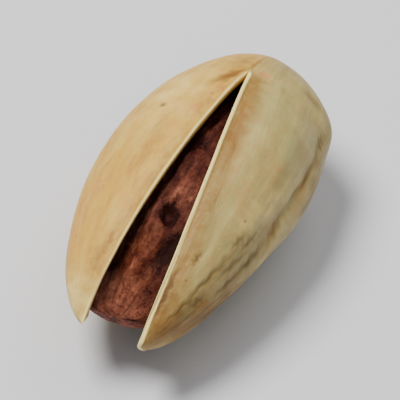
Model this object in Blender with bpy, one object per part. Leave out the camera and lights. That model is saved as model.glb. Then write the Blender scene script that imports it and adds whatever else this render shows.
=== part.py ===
# A pistachio in its shell, lying with its split upwards. Run it with Blender 4.5:
# blender --background --python part.py
# The nut lies along Y, with its stem scar towards +Y and its open tip towards -Y.
# The shell grew as one piece: two valves, left (-X) and right (+X), which meet along a seam that runs
# over the top and the bottom. They have sprung apart along part of it, and are still joined at the stem.
# The kernel is the loose seed inside.

import math

import bmesh
import bpy
import numpy as np

# Driving dimensions, in metres
NUT_LENGTH = 0.0210
TOP_HEIGHT = 0.0047  # seam above the nut's axis
BOTTOM_DEPTH = 0.0056  # seam below the nut's axis
TIP_DROP = 0.0006  # how far the open tip lies under the axis
WALL = 0.0008
WALL_TAPER = 0.0001  # the cheeks are this much thinner at the tip
RIM_WALL = 0.0005  # the wall is thinner along the split
STEM_WALL = 0.0014
TIP_WALL = 0.0006
END_WALL_POWER = 8  # how quickly the stem's and the tip's extra wall fades away from each end
REST_FLAT = 0.00015  # depth of the flat spot worn off the lowest point

# Each valve: side of the seam, half width, how blunt it is at the stem, how pointed at the tip, how far its
# tip has sprung away from the seam, how slowly its rim starts to part, and the share of its half turn by
# which its lower edge stops short near the tip
VALVES = {
    "left": {
        "side": -1,
        "half_width": 0.0057,
        "stem_power": 0.52,
        "tip_power": 0.69,
        "opening": 0.00115,
        "lag": 1.35,
        "short": 0.18,
    },
    "right": {
        "side": 1,
        "half_width": 0.0054,
        "stem_power": 0.42,
        "tip_power": 0.77,
        "opening": 0.0023,
        "lag": 1.0,
        "short": 0.08,
    },
}
TOP_POWERS = (0.43, 0.81)  # stem and tip powers of the top seam's arch
BOTTOM_POWERS = (0.50, 0.69)
CHEEK_POWER = 1.08  # over 1 draws the cheeks in a little towards the seam

# Rings of vertices from the stem to the tip, and steps from a valve's top seam to its bottom seam
RINGS = 48
OUTER_STEPS = 22
INNER_STEPS = 10

# The split: the rings where it starts, and how its two sides part from there to the tip. The rims follow a
# quarter of a sine wave, and the cheeks below them part by a power of the share that is open.
TOP_SPLIT_RING = 13
BOTTOM_SPLIT_RING = 24
RIM_GAP_POWER = 4  # how closely under the rim the sine wave gives way to the cheeks' power
TOP_GAP_POWER = 0.72
CHEEK_GAP_POWER = 1.1
BOTTOM_GAP_POWER = 1.2
SHORT_FROM = 0.60  # shares between which the lower edges draw back
SHORT_FULL = 0.88

# Stem scar: a low round collar with a dimple
SCAR_RADIUS = 0.0014
SCAR_HEIGHT = 0.00025
SCAR_EDGE = 0.0007
SCAR_DIMPLE = 0.00018
DIMPLE_RADIUS = 0.0006

# Lengthwise relief on the outside of the shell
RIB_HEIGHT = 0.0001
GROOVE_DEPTH = 0.00018
GROOVE_ANGLE = 1.31  # radians down from the top seam
GROOVE_WIDTH = 0.11
FOLD_HEIGHT = 0.00030  # the rounded fold just below the groove
FOLD_ANGLE = 1.64
FOLD_WIDTH = 0.19
FOLD_SHARE = 0.40  # the middle of the groove and the fold along the length
FOLD_SPAN = 0.24
SHOULDER_HEIGHT = 0.00038
SHOULDER_SHARE = 0.105
SHOULDER_ANGLE = 1.45
SHOULDER_SPAN = 0.06
SHOULDER_WIDTH = 0.5

# Kernel
KERNEL_STEM_Y = 0.0079
KERNEL_TIP_Y = -0.00935
KERNEL_HALF_WIDTH = 0.0038
KERNEL_TOP = 0.00385
KERNEL_BOTTOM = 0.0039
KERNEL_SIDE_POWERS = (0.46, 0.34)
KERNEL_TOP_POWERS = (0.44, 0.79)
KERNEL_BOTTOM_POWERS = (0.44, 0.52)
KERNEL_SHIFT = -0.0001  # it lies a little nearer the left valve
KERNEL_LEAN = 0.00018  # but crosses to the middle at the tip
KERNEL_FULLNESS = 0.04  # how much its upper side swells between its top and its sides
KERNEL_SLANT = 0.00045  # its end reaches this much further on the left and less on the right
KERNEL_RINGS = 44
KERNEL_STEPS = 40
CREASE_DEPTH = 0.00025
CREASE_DEEPEST = 0.00035  # this much more at CREASE_DEEP_SHARE
CREASE_DEEP_SHARE = 0.75
CREASE_DEEP_SPAN = 0.22
CREASE_WIDTH = 0.10
CREASE_START = -0.10  # its angle at the stem end, from where it bends towards the left valve
CREASE_SLOPE = -0.28
WRINKLE_HEIGHT = 0.00011
END_DIMPLE = 0.00012

MERGE_DISTANCE = 1e-7
SHARP_ANGLE = math.radians(50)


def clear_scene():
    for obj in list(bpy.data.objects):
        bpy.data.objects.remove(obj, do_unlink=True)


def share_at(ring, rings):
    """Where a ring lies along the length: 0 at the stem, 1 at the tip. They crowd towards both ends."""
    return 0.5 - 0.5 * math.cos(math.pi * ring / rings)


def arch(share, stem_power, tip_power):
    """A rounded arch over the length, 0 at both ends and 1 at its highest."""
    share = np.clip(share, 0.0, 1.0)
    highest = stem_power / (stem_power + tip_power)
    scale = highest**stem_power * (1.0 - highest) ** tip_power
    return share**stem_power * (1.0 - share) ** tip_power / scale


def opened(share, start):
    """0 where the seam is still closed, 1 at the tip."""
    return np.clip((share - start) / (1.0 - start), 0.0, 1.0)


def bell(value, centre, width):
    return np.exp(-(((value - centre) / width) ** 2))


def outside_relief(valve, share, angle):
    """Height of the ribs and of the right valve's fold and groove over the plain shell."""
    fade = np.sin(math.pi * share) ** 0.8 * np.sin(angle) ** 2
    phase = 0.9 + 1.3 * valve["side"]
    ribs = 0.6 * np.sin(7.0 * angle + phase + 1.5 * share) + 0.4 * np.sin(12.0 * angle - phase)
    relief = RIB_HEIGHT * ribs * fade
    if valve["side"] > 0:
        along = bell(share, FOLD_SHARE, FOLD_SPAN)
        relief = relief + FOLD_HEIGHT * along * bell(angle, FOLD_ANGLE, FOLD_WIDTH)
        relief = relief - GROOVE_DEPTH * along * bell(angle, GROOVE_ANGLE, GROOVE_WIDTH)
        shoulder = bell(share, SHOULDER_SHARE, SHOULDER_SPAN) * bell(angle, SHOULDER_ANGLE, SHOULDER_WIDTH)
        relief = relief + SHOULDER_HEIGHT * shoulder
    return relief


def valve_point(valve, share, angle, inner):
    """A point of one valve. The angle runs from 0 at the top seam to pi at the bottom seam."""
    wall, rim_wall = (WALL - WALL_TAPER * share**4, RIM_WALL) if inner else (0.0, 0.0)
    half_width = (valve["half_width"] - wall) * arch(share, valve["stem_power"], valve["tip_power"])
    above = (TOP_HEIGHT - rim_wall) * arch(share, *TOP_POWERS)
    below = (BOTTOM_DEPTH - wall) * arch(share, *BOTTOM_POWERS)
    height = np.where(angle < math.pi / 2, above, below)

    relief = 0.0 if inner else outside_relief(valve, share, angle)
    across = half_width * np.sin(angle) ** CHEEK_POWER + relief * np.sin(angle)
    z = -TIP_DROP * share**3 + (height + relief) * np.cos(angle)

    near_top = 0.5 + 0.5 * np.cos(angle)
    near_rim = near_top**RIM_GAP_POWER
    top_open = opened(share, share_at(TOP_SPLIT_RING, RINGS))
    rim_gap = np.sin(0.5 * math.pi * top_open ** valve["lag"])
    cheek_gap = top_open ** (TOP_GAP_POWER + CHEEK_GAP_POWER * (1.0 - near_top))
    top_gap = rim_gap * near_rim + cheek_gap * (1.0 - near_rim)
    bottom_gap = opened(share, share_at(BOTTOM_SPLIT_RING, RINGS)) ** BOTTOM_GAP_POWER
    x = valve["side"] * (across + valve["opening"] * (top_gap * near_top + bottom_gap * (1.0 - near_top)))

    y = NUT_LENGTH * (0.5 - share)
    if inner:
        y = y - STEM_WALL * (1.0 - share) ** END_WALL_POWER + TIP_WALL * share**END_WALL_POWER
    else:
        from_axis = np.hypot(across, (height + relief) * np.cos(angle))
        scar = 1.0 / (1.0 + np.exp((from_axis - SCAR_RADIUS) / (SCAR_EDGE / 4)))
        scar_relief = SCAR_HEIGHT * scar - SCAR_DIMPLE * bell(from_axis, 0.0, DIMPLE_RADIUS)
        y = y + np.where(share < 0.2, scar_relief, 0.0)  # only round the stem, not at the tip
    return x, y, z


def last_angle(valve, share):
    """The angle of the valve's lower edge: pi, and less towards the tip, where it stops short of the seam."""
    drawn_back = np.clip((share - SHORT_FROM) / (SHORT_FULL - SHORT_FROM), 0.0, 1.0)
    return math.pi * (1.0 - valve["short"] * drawn_back**2 * (3.0 - 2.0 * drawn_back))


def valve_rings(bm, valve, steps, inner, flat_z):
    """The vertices of one valve's outside or inside, ring by ring, from its upper edge to its lower one."""
    rings = []
    for ring in range(RINGS + 1):
        share = share_at(ring, RINGS)
        angles_here = np.linspace(0.0, last_angle(valve, share), steps + 1)
        if ring in (0, RINGS):  # the stem's pole and the valve's tip
            angles_here = angles_here[:1]
        x, y, z = valve_point(valve, np.full(len(angles_here), share), angles_here, inner)
        if not inner:
            z = np.maximum(z, flat_z)
        verts = [bm.verts.new(p) for p in zip(x, y, z)]
        rings.append(verts * (steps + 1) if len(verts) == 1 else verts)
    return rings


def add_face(bm, corners):
    """A face from its corners, leaving out a corner that repeats at a pole."""
    single = list(dict.fromkeys(corners))
    if len(single) > 2:
        bm.faces.new(single)


def skin(bm, rings, steps):
    for near, far in zip(rings, rings[1:]):
        for step in range(steps):
            add_face(bm, (near[step], far[step], far[step + 1], near[step + 1]))


def lip(bm, outer, inner, first_ring, outer_step, inner_step):
    """The wall's broken edge along the split, from where the split starts to the tip."""
    for ring in range(first_ring, RINGS):
        add_face(
            bm,
            (
                outer[ring][outer_step],
                outer[ring + 1][outer_step],
                inner[ring + 1][inner_step],
                inner[ring][inner_step],
            ),
        )


def finish_mesh(bm, name):
    bmesh.ops.remove_doubles(bm, verts=bm.verts, dist=MERGE_DISTANCE)
    bmesh.ops.triangulate(bm, faces=[face for face in bm.faces if len(face.verts) > 3])
    bmesh.ops.recalc_face_normals(bm, faces=bm.faces)
    mesh = bpy.data.meshes.new(name)
    bm.to_mesh(mesh)
    bm.free()
    mesh.shade_smooth()
    mesh.set_sharp_from_angle(angle=SHARP_ANGLE)
    obj = bpy.data.objects.new(name, mesh)
    bpy.context.scene.collection.objects.link(obj)
    return obj


def lowest_point():
    """The height of the rounded shell's lowest point, on its bottom seam."""
    shares = np.array([share_at(ring, RINGS) for ring in range(RINGS + 1)])
    seam = np.full(len(shares), math.pi)
    return valve_point(VALVES["left"], shares, seam, False)[2].min()


def build_shell(flat_z):
    bm = bmesh.new()
    for valve in VALVES.values():
        outer = valve_rings(bm, valve, OUTER_STEPS, False, flat_z)
        inner = valve_rings(bm, valve, INNER_STEPS, True, flat_z)
        skin(bm, outer, OUTER_STEPS)
        skin(bm, inner, INNER_STEPS)
        lip(bm, outer, inner, TOP_SPLIT_RING, 0, 0)
        lip(bm, outer, inner, BOTTOM_SPLIT_RING, OUTER_STEPS, INNER_STEPS)
    return finish_mesh(bm, "shell")


def kernel_point(share, angle):
    """A point of the kernel's skin. The angle runs all the way round, from 0 at the top."""
    crease_angle = CREASE_START + CREASE_SLOPE * share
    crease_depth = CREASE_DEPTH + CREASE_DEEPEST * bell(share, CREASE_DEEP_SHARE, CREASE_DEEP_SPAN)
    crease = crease_depth * bell(np.sin((angle - crease_angle) / 2), 0.0, CREASE_WIDTH)
    crease = crease + CREASE_DEPTH * bell(np.cos(angle / 2), 0.0, CREASE_WIDTH)
    wrinkles = (
        0.5 * np.sin(5.0 * angle + 2.1 + 3.0 * share)
        + 0.3 * np.sin(9.0 * angle - 4.0 * share)
        + 0.2 * np.sin(3.0 * angle + 21.0 * share)
    )
    body = np.sin(math.pi * share) ** 0.5
    relief = body * (WRINKLE_HEIGHT * wrinkles - crease)
    half_width = KERNEL_HALF_WIDTH * arch(share, *KERNEL_SIDE_POWERS)
    above = KERNEL_TOP * arch(share, *KERNEL_TOP_POWERS)
    below = KERNEL_BOTTOM * arch(share, *KERNEL_BOTTOM_POWERS)
    height = np.where(np.cos(angle) > 0, above, below)
    swell = np.where(np.cos(angle) > 0, np.sin(2.0 * angle) ** 2, 0.0)
    full = 1.0 + KERNEL_FULLNESS * swell * (1.0 - share**4)
    across = full * (half_width + relief) * np.sin(angle)
    x = KERNEL_SHIFT + KERNEL_LEAN * share**2 + across
    y = KERNEL_STEM_Y + (KERNEL_TIP_Y - KERNEL_STEM_Y) * share
    y = y + END_DIMPLE * bell(share, 1.0, 0.012) + KERNEL_SLANT * share**6 * across / KERNEL_HALF_WIDTH
    z = -TIP_DROP * share**3 + full * (height + relief) * np.cos(angle)
    return x, y, z


def build_kernel():
    bm = bmesh.new()
    angles = np.linspace(0.0, 2 * math.pi, KERNEL_STEPS + 1)[:-1]
    rings = []
    for ring in range(KERNEL_RINGS + 1):
        here = angles[:1] if ring in (0, KERNEL_RINGS) else angles
        points = kernel_point(np.full(len(here), share_at(ring, KERNEL_RINGS)), here)
        verts = [bm.verts.new(p) for p in zip(*points)]
        verts = verts * KERNEL_STEPS if len(verts) == 1 else verts
        rings.append(verts + verts[:1])
    skin(bm, rings, KERNEL_STEPS)
    return finish_mesh(bm, "kernel")


def give_material(obj, name, colour, roughness):
    material = bpy.data.materials.new(name)
    material.use_nodes = True
    shader = material.node_tree.nodes["Principled BSDF"]
    shader.inputs["Base Color"].default_value = (*colour, 1.0)
    shader.inputs["Roughness"].default_value = roughness
    shader.inputs["Metallic"].default_value = 0.0
    obj.data.materials.append(material)


def stand_on_origin(objects):
    """Moves it all so that the origin is under the middle of the shell's box, level with the flat spot."""
    points = np.array([v.co for v in objects[0].data.vertices])
    low, high = points.min(axis=0), points.max(axis=0)
    for obj in objects:
        obj.location = (-(low[0] + high[0]) / 2, -(low[1] + high[1]) / 2, -low[2])


def main():
    clear_scene()
    shell = build_shell(lowest_point() + REST_FLAT)
    kernel = build_kernel()
    give_material(shell, "shell", (0.58, 0.47, 0.28), 0.55)
    give_material(kernel, "kernel_skin", (0.17, 0.06, 0.04), 0.45)
    stand_on_origin([shell, kernel])


main()
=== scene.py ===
import math

import bmesh
import bpy
import numpy as np
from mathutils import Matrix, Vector


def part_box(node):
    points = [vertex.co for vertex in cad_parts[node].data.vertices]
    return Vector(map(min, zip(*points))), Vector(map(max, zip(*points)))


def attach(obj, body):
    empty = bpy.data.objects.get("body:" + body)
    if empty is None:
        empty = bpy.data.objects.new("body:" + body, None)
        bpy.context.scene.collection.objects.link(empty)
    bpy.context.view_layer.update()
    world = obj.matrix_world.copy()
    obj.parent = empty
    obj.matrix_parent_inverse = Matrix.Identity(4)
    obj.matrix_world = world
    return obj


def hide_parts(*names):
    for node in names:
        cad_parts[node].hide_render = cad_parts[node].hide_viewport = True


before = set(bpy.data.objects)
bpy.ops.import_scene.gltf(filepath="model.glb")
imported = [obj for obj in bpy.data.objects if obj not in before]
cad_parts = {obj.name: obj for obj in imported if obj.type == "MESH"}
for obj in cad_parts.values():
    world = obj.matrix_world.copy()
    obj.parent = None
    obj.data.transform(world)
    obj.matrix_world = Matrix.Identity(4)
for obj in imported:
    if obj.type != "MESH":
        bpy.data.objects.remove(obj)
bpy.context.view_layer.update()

# A pistachio in its shell, lying with its split upwards, stem scar towards +Y and open tip towards -Y.
# Along the nut, share runs from 0 at the stem to 1 at the tip. Round a valve, angle runs from 0 at the
# top seam to pi at the bottom seam. Sizes are in metres unless a name says otherwise.
mm = 0.001


# Helpers for shapes

def arch(share, powers):
    # share^a * (1 - share)^b, divided by its own highest value, so it rises from 0 to 1 and falls back to 0
    a, b = powers
    highest = a / (a + b)
    share = np.clip(share, 0.0, 1.0)
    return share**a * (1.0 - share) ** b / (highest**a * (1.0 - highest) ** b)


def bell(value, centre, width):
    # e^-((value - centre) / width)^2
    return np.exp(-(((value - centre) / width) ** 2))


def smoothStep(value, low, high):
    # t = (value - low) / (high - low) held between 0 and 1, then t^2 * (3 - 2t)
    t = np.clip((value - low) / (high - low), 0.0, 1.0)
    return t * t * (3.0 - 2.0 * t)


def smoothNoise(x, y, z, seed):
    # random values from -1 to 1 at whole-number points, joined along each axis by t^2 * (3 - 2t)
    cells = [np.floor(c).astype(np.int64) for c in (x, y, z)]
    blends = [smoothStep(c - cell, 0.0, 1.0) for c, cell in zip((x, y, z), cells)]
    total = np.zeros(np.broadcast(x, y, z).shape)
    for corner in range(8):
        steps = (corner & 1, corner >> 1 & 1, corner >> 2 & 1)
        mixed = (cells[0] + steps[0]) * 73856093 ^ (cells[1] + steps[1]) * 19349663
        mixed = mixed ^ (cells[2] + steps[2]) * 83492791 ^ seed * 265443576
        mixed = (mixed & 0xFFFFFFF) * 1274126177 & 0xFFFFFFF
        mixed = (mixed ^ mixed >> 13) * 97755333 & 0xFFFFFFF
        value = (mixed >> 8 & 0xFFFF) / 32767.5 - 1.0
        weight = 1.0
        for blend, step in zip(blends, steps):
            weight = weight * (blend if step else 1.0 - blend)
        total = total + value * weight
    return total


def layeredNoise(x, y, z, seed, layers=3):
    # noise + half as much at twice the frequency + a quarter at four times, and so on
    return sum(smoothNoise(x * 2**k, y * 2**k, z * 2**k, seed + k) / 2**k for k in range(layers))


def stretchedNoise(coordinates, size, seed, layers=3):
    # layered noise of x and y divided by the size's width, and z by its length, in millimetres
    (x, y, z), (wide, long) = coordinates, size
    return layeredNoise(x / wide, y / wide, z / long, seed, layers)


def gridFaces(table):
    # table holds vertex numbers, row by row; each cell of it becomes one four-sided face
    return np.stack([table[:-1, :-1], table[1:, :-1], table[1:, 1:], table[:-1, 1:]], axis=-1).reshape(-1, 4)


def newObject(name, data):
    thing = bpy.data.objects.new(name, data)
    bpy.context.scene.collection.objects.link(thing)
    return thing


def meshPiece(name, parts):
    # parts: grids of points with their values for the materials; where grids touch, their points become one
    points = np.concatenate([part["points"].reshape(-1, 3) for part in parts])
    faces = []
    start = 0
    for part in parts:
        table = np.arange(part["points"][..., 0].size).reshape(part["points"].shape[:2]) + start
        faces.append(gridFaces(table))
        start += table.size
    mesh = bpy.data.meshes.new(name)
    mesh.from_pydata(points.tolist(), [], np.concatenate(faces).tolist())
    for key in parts[0]["values"]:
        tables = [part["values"][key] for part in parts]
        values = np.concatenate([table.reshape(-1, table.shape[-1]) for table in tables])
        kind, field = ("FLOAT_VECTOR", "vector") if values.shape[1] == 3 else ("FLOAT", "value")
        layer = mesh.attributes.new(key, kind, "POINT")
        layer.data.foreach_set(field, values.astype(np.float32).ravel())
    bm = bmesh.new()
    bm.from_mesh(mesh)
    bmesh.ops.remove_doubles(bm, verts=bm.verts, dist=1e-7)
    bmesh.ops.recalc_face_normals(bm, faces=bm.faces)
    bm.to_mesh(mesh)
    bm.free()
    mesh.shade_smooth()
    piece = newObject(name, mesh)
    print(name, "vertices", len(mesh.vertices), "faces", len(mesh.polygons))
    return piece


# The shell

nut = {
    "length": 21.0 * mm,
    "topHeight": 4.7 * mm,  # top seam above the axis
    "bottomDepth": 5.6 * mm,
    "tipDrop": 0.6 * mm,  # the tip lies this far under the axis
    "topPowers": (0.43, 0.81),
    "bottomPowers": (0.5, 0.69),
    "cheekPower": 1.08,
    "wall": 0.8 * mm,
    "wallTaper": 0.1 * mm,  # the cheeks are this much thinner at the tip
    "rimWall": 0.4 * mm,  # the wall is thinner along the split
    "stemWall": 1.4 * mm,
    "tipWall": 0.6 * mm,
    "endWallPower": 8,  # how quickly the stem's and the tip's extra wall fades away from each end
    "restFlat": 0.15 * mm,
}

# A rim's gap is held back by its lag, and a lower edge draws back by its short share of the half turn
valves = {
    "left": {"side": -1, "halfWidth": 5.7 * mm, "powers": (0.52, 0.69), "opening": 1.15 * mm,
             "lag": 1.35, "short": 0.18},
    "right": {"side": 1, "halfWidth": 5.4 * mm, "powers": (0.42, 0.77), "opening": 2.3 * mm,
              "lag": 1.0, "short": 0.08},
}

split = {
    "topStart": 0.1703,  # share of the length at which the top seam comes apart
    "bottomStart": 0.5,
    "rimPower": 4,  # how closely under the rim the rims' sine wave gives way to the cheeks' power
    "topPower": 0.72,
    "cheekPower": 1.1,
    "bottomPower": 1.2,
    "shortFrom": 0.6,  # shares of the length between which the lower edges draw back
    "shortFull": 0.88,
    "lipRound": 0.06 * mm,
    "rimFade": {"left": 0.03, "right": 0.085},  # how far down the outside the pale edge, partly a painted highlight on the rounded rim, fades, in radians
    "besideFade": {"left": 0.1, "right": 0.2},  # how far down from its rim a valve is golden and darker, partly painted shade of the dip there, in radians
    "lipWander": 0.016 * mm,
    "lipWaves": 10.0,
    "bead": 0.085 * mm,  # the rims are a little raised, with a shallow dip beside them
    "beadAway": 0.14 * mm,
    "beadWidth": 0.13 * mm,
    "beadDip": 0.05 * mm,
    "beadDipAway": 0.5 * mm,
    "beadDipWidth": 0.24 * mm,
    "lipShadeDepths": {"left": (0.08, 0.55), "right": (0.3, 0.8)},  # where across the broken edge painted shade in the inside's brown begins
}

relief = {
    "ribs": 0.1 * mm,
    "groove": 0.18 * mm,  # the right valve's groove and the rounded fold below it
    "grooveAngle": 1.31,
    "grooveWidth": 0.11,
    "fold": 0.3 * mm,
    "foldAngle": 1.64,
    "foldWidth": 0.19,
    "foldShare": 0.4,
    "foldSpan": 0.24,
    "shoulder": 0.38 * mm,
    "shoulderSpot": (0.105, 1.45, 0.06, 0.5),  # share, angle, half length, half width
    "lumps": 0.06 * mm,
    "lumpSize": (2.6, 4.5),  # width and length in millimetres
    "bumps": 0.03 * mm,
    "bumpSize": (0.95, 2.2),
    "fibres": 0.012 * mm,
    "fibreSize": (0.42, 3.6),
    "bankFrom": 0.045,  # a mark deeper than this, in millimetres, has raised banks beside it
    "bankWidth": 2.4,  # this many times wider than the mark
    "bankHeight": 0.3,
    "seamGroove": 0.07 * mm,
    "seamGrooveWidth": 0.13 * mm,
    "seamRidge": 0.05 * mm,
    "seamRidgeAway": 0.3 * mm,
    "seamRidgeWidth": 0.28 * mm,
}

scar = {
    "radius": 1.4 * mm,
    "height": 0.25 * mm,
    "edge": 0.7 * mm,
    "dimple": 0.18 * mm,
    "dimpleRadius": 0.6 * mm,
    "pitRing": 0.95 * mm,
    "pits": 13,
    "pitWidth": 0.13 * mm,
    "pitDepth": 0.09 * mm,
    "grooves": 29,
    "grooveAway": 1.15 * mm,
    "grooveSpan": 0.45 * mm,
    "grooveDepth": 0.035 * mm,
}

shellGrid = {"rings": 288, "outerSteps": 108, "innerSteps": 26, "lipSteps": 8, "crowding": 0.55}

# Marks on the shell by valve, mostly grown and a few of them painted shade: share, angle, half length as a
# share, half width in radians, slope in radians per share, height over the surface in millimetres, then a
# tone of the shell and its strength
marks = {}
marks["right"] = (
    # its groove, and what lies along it
    (0.2, 1.32, 0.03, 0.07, 0.0, -0.05, "stainAndShade", 1.2),
    (0.33, 1.33, 0.13, 0.04, -0.3, -0.09, "stainAndShade", 1.1),
    (0.52, 1.36, 0.045, 0.06, 1.0, -0.07, "rustAndShade", 1.4),
    (0.64, 1.35, 0.06, 0.075, 0.0, -0.08, "stainAndShade", 1.1),
    (0.74, 1.37, 0.055, 0.08, 0.2, -0.07, "stainAndShade", 1.1),
    (0.33, 1.6, 0.11, 0.13, 0.9, 0.0, "stainAndShade", 0.95),
    (0.37, 1.39, 0.05, 0.06, 1.6, 0.02, "blush", 0.9),
    # its shoulder
    (0.116, 0.95, 0.014, 0.17, 0.0, -0.11, "stainAndShade", 0.55),
    (0.15, 1.2, 0.026, 0.12, 0.0, 0.08, "pale", 0.6),
    # long streaks towards its tip
    (0.77, 0.895, 0.07, 0.06, -0.6, -0.1, "stainAndShade", 1.25),
    (0.88, 0.875, 0.06, 0.08, -0.6, -0.08, "stainAndShade", 1.2),
    (0.836, 1.118, 0.03, 0.11, -0.8, -0.07, "stainAndShade", 1.2),
    (0.651, 0.89, 0.03, 0.05, -0.8, -0.05, "stainAndShade", 0.9),
    (0.622, 1.07, 0.036, 0.06, -0.7, -0.05, "stainAndShade", 0.9),
    (0.7, 1.11, 0.055, 0.06, -0.9, -0.06, "stainAndShade", 0.9),
    (0.76, 0.437, 0.022, 0.05, -1.0, -0.04, "stainAndShade", 1.2),
    (0.8, 0.37, 0.016, 0.05, -1.0, -0.03, "rustAndShade", 1.1),
    # broad patches on the lower right edge and the low tip: some olive stain, and painted shade where these
    # faces turn from the light
    (0.9, 1.25, 0.07, 0.4, 0.0, 0.0, "stainAndShade", 1.1),
    (0.95, 0.7, 0.03, 0.35, 0.0, 0.0, "stainAndShade", 0.8),
    (0.76, 1.8, 0.13, 0.33, 0.0, 0.0, "stainAndShade", 1.1),
    (0.82, 1.56, 0.08, 0.05, 0.8, -0.09, "stainAndShade", 0.9),
    (0.69, 1.18, 0.13, 0.33, 0.0, 0.0, "stainAndShade", 0.35),
    # pale ridges, the first two of them partly painted highlight, and greener patches on it
    (0.5, 1.01, 0.12, 0.13, -1.3, 0.07, "pale", 0.95),
    (0.585, 0.86, 0.05, 0.12, -0.6, 0.03, "pale", 1.0),
    (0.58, 1.58, 0.11, 0.06, 1.8, 0.1, "pale", 0.6),
    (0.64, 0.33, 0.14, 0.13, 0.0, -0.02, "stainAndShade", 0.3),
    (0.905, 0.36, 0.055, 0.25, 0.0, -0.03, "rustAndShade", 0.4),
    (0.895, 0.33, 0.055, 0.22, 0.0, -0.02, "stainAndShade", 0.9),
    (0.875, 0.225, 0.05, 0.07, 0.5, -0.04, "stainAndShade", 4.0),
    (0.8, 0.24, 0.05, 0.08, -0.3, -0.04, "rustAndShade", 0.6),
    (0.26, 0.16, 0.06, 0.09, 0.3, 0.0, "gold", 0.7),
    # rust at the low tip, on this row and two rows down: a browner tone, and painted shade
    (0.945, 0.8, 0.05, 0.55, 0.0, 0.0, "rustAndShade", 0.5),
    (0.85, 1.75, 0.16, 0.6, 0.0, 0.0, "gold", 1.8),
    (0.93, 1.1, 0.06, 0.5, 0.0, 0.0, "rustAndShade", 0.75),
    (0.331, 0.827, 0.06, 0.16, 1.0, 0.0, "green", 1.2),
    (0.25, 0.52, 0.08, 0.24, 0.0, 0.0, "green", 0.9),
    (0.62, 0.45, 0.09, 0.16, 0.0, 0.0, "green", 0.6),
    (0.687, 0.779, 0.014, 0.035, 0.0, -0.02, "green", 1.5),
    # rusty brown beside its rim
    (0.33, 0.13, 0.06, 0.075, 0.6, -0.03, "rustAndShade", 0.75),
    (0.43, 0.19, 0.09, 0.1, 0.6, -0.03, "rustAndShade", 0.75),
    (0.71, 0.14, 0.08, 0.05, 0.0, -0.02, "rustAndShade", 0.8),
    (0.855, 0.17, 0.08, 0.1, 0.2, -0.02, "rustAndShade", 0.5),
    (0.17, 0.213, 0.014, 0.11, 0.0, -0.02, "blush", 1.2),
    (0.18, 0.496, 0.013, 0.05, 0.0, -0.02, "stainAndShade", 0.5),
    (0.423, 0.795, 0.018, 0.06, 0.0, 0.0, "blush", 0.8),
    (0.56, 0.59, 0.06, 0.16, 0.0, 0.0, "blush", 0.35),
    # where the split starts, and underneath
    (0.14, 0.0, 0.035, 0.035, 0.0, 0.0, "rustAndShade", 1.1),
    (0.48, 2.15, 0.15, 0.028, 0.3, -0.09, "stainAndShade", 0.7),
    (0.33, 2.45, 0.12, 0.12, 0.0, 0.05, "green", 0.8),
    (0.7, 2.5, 0.12, 0.035, -0.4, -0.08, "stainAndShade", 0.7),
)
marks["left"] = (
    (0.215, 0.15, 0.04, 0.04, 1.9, -0.06, "rustAndShade", 1.3),
    (0.225, 0.17, 0.045, 0.07, 1.9, -0.09, "stainAndShade", 1.0),
    (0.15, 0.25, 0.05, 0.17, 1.0, 0.0, "stainAndShade", 0.55),
    (0.283, 0.102, 0.012, 0.035, 0.0, 0.0, "blush", 1.2),
    (0.204, 0.299, 0.014, 0.06, 0.0, 0.0, "blush", 1.0),
    (0.377, 0.22, 0.022, 0.06, 0.0, 0.0, "blush", 0.8),
    (0.655, 0.827, 0.03, 0.12, 0.0, 0.0, "blush", 1.3),
    (0.776, 0.953, 0.08, 0.18, 0.0, 0.0, "blush", 0.9),
    (0.45, 0.425, 0.06, 0.022, 0.9, -0.04, "stainAndShade", 0.45),
    (0.353, 0.14, 0.07, 0.05, 0.0, 0.0, "gold", 0.6),
    (0.59, 0.09, 0.09, 0.045, 0.0, 0.0, "gold", 0.6),
    (0.82, 0.215, 0.05, 0.045, 0.9, -0.03, "rustAndShade", 0.8),
    (0.862, 0.33, 0.04, 0.11, 0.0, 0.0, "gold", 0.8),
    (0.965, 0.9, 0.06, 1.1, 0.0, 0.0, "pale", 1.8),
    (0.33, 0.56, 0.12, 0.28, 0.0, 0.03, "pale", 1.0),
    (0.52, 0.35, 0.1, 0.07, 0.3, 0.0, "gold", 0.5),
    (0.14, 0.0, 0.035, 0.035, 0.0, 0.0, "rustAndShade", 1.1),
    # on its far side, and underneath
    (0.42, 1.62, 0.17, 0.03, 0.2, -0.08, "stainAndShade", 0.6),
    (0.76, 1.48, 0.11, 0.032, 0.4, -0.09, "stainAndShade", 0.6),
    (0.33, 2.15, 0.15, 0.03, 0.3, -0.08, "stainAndShade", 0.6),
    (0.64, 2.4, 0.13, 0.03, -0.3, -0.08, "stainAndShade", 0.7),
    (0.56, 1.95, 0.12, 0.11, 0.0, 0.05, "pale", 0.5),
)

# Small round pits by valve: share, angle, radius
pinholes = {
    "left": ((0.385, 0.567, 0.17 * mm), (0.3, 1.9, 0.15 * mm), (0.55, 2.55, 0.13 * mm)),
    "right": ((0.43, 2.3, 0.16 * mm), (0.25, 1.95, 0.15 * mm)),
}
tones = ("stainAndShade", "rustAndShade", "gold", "green", "pale", "blush")


def opened(share, start):
    # (share - start) / (1 - start), held between 0 and 1
    return np.clip((share - start) / (1.0 - start), 0.0, 1.0)


def lastAngle(name, share):
    # pi * (1 - short * smooth step of the share): where a valve's lower edge lies
    return math.pi * (1.0 - valves[name]["short"] * smoothStep(share, split["shortFrom"], split["shortFull"]))


def fibreCoordinates(side, share, angle):
    # round the nut as a circle of 5 units, along it as 21 units, so a unit is about a millimetre
    return np.stack([5.0 * side * np.sin(angle), 5.0 * np.cos(angle), 21.0 * share], axis=-1)


def patch(share, angle, atShare, atAngle, lengthShare, width):
    # a soft oval spot: one bell along the nut times one round it
    return bell(share, atShare, lengthShare) * bell(angle, atAngle, width)


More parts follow.
